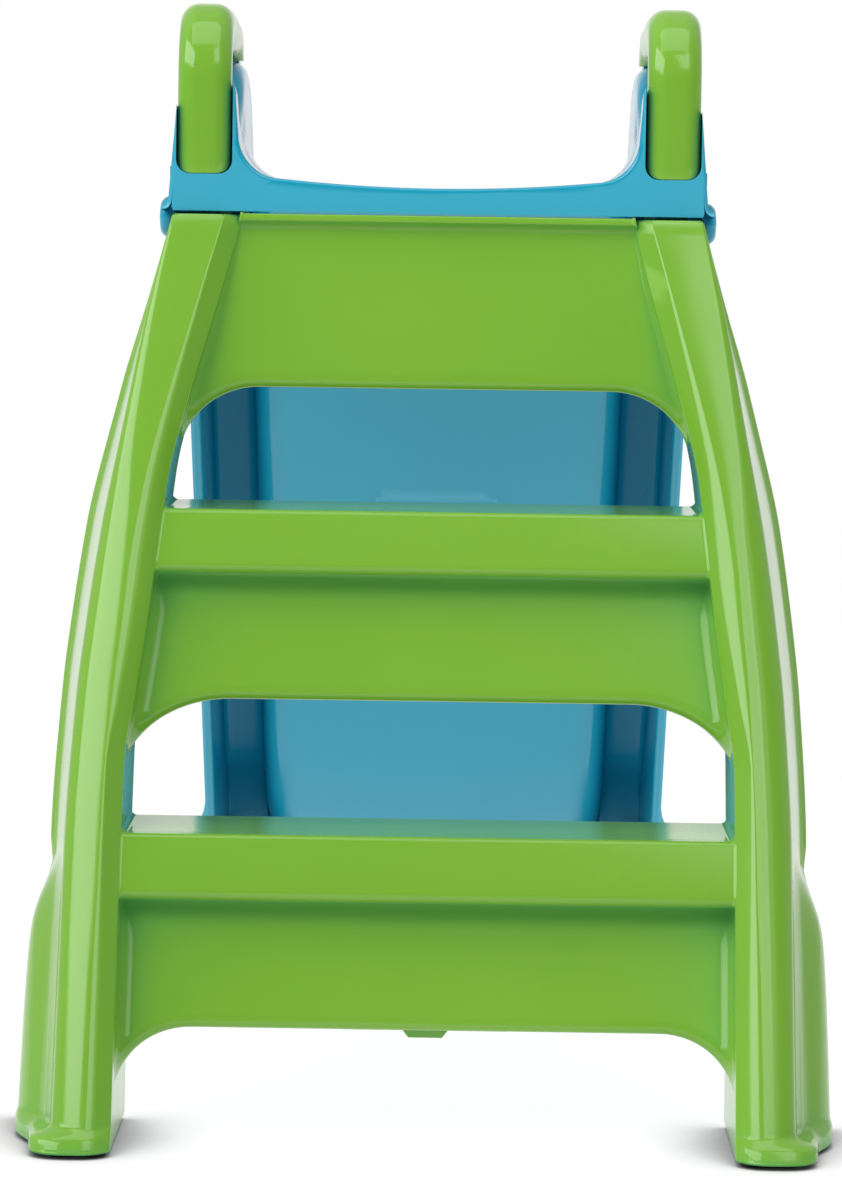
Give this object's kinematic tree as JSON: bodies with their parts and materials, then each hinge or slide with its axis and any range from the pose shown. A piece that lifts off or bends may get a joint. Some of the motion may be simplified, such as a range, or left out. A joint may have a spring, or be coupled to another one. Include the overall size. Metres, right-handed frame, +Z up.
{
  "type": "toddler slide",
  "caption": "Fold-up toddler slide: a blue chute and platform with green grab handles, and a green step ladder hinged under the platform's rear lip.",
  "frame": {"origin": "on the floor, under the middle of the slide's bounding box", "axes": "+Z up, +Y from the ladder to the foot of the chute, +X to the right of a child climbing the ladder"},
  "size_m": [0.4568, 1, 0.643],
  "materials": {
    "blue_plastic": "glossy moulded polyethylene",
    "green_plastic": "glossy moulded polyethylene",
    "steel": "zinc plated",
    "nylon": "satin",
    "rubber": "matt"
  },
  "bodies": {
    "slide": {"slide_chute": "blue_plastic", "handrail_left": "green_plastic", "handrail_right": "green_plastic", "handrail_screw_front_left": "steel", "handrail_screw_front_right": "steel", "handrail_screw_rear_left": "steel", "handrail_screw_rear_right": "steel", "hinge_pin_left": "steel", "hinge_pin_right": "steel", "hinge_clip_left": "steel", "hinge_clip_right": "steel", "chute_pad_left": "rubber", "chute_pad_right": "rubber"},
    "ladder": {"ladder_frame": "green_plastic", "ladder_pad_left": "rubber", "ladder_pad_right": "rubber", "hinge_bush_left": "nylon", "hinge_bush_right": "nylon", "catch_pin": "steel", "catch_spring": "steel"},
    "catch": {"storage_catch": "green_plastic"}
  },
  "joints": [
    {"name": "ladder_fold", "type": "hinge", "parent": "slide", "child": "ladder", "pos_m": [0, -0.26, 0.517], "axis": [1, 0, 0], "range_deg": [0, 77]},
    {"name": "catch_lever", "type": "hinge", "parent": "ladder", "child": "catch", "pos_m": [0, -0.4235, 0.0705], "axis": [1, 0, 0], "range_deg": [0, 12], "stiffness_Nm_per_rad": 0.08, "springref_deg": -17.19}
  ]
}
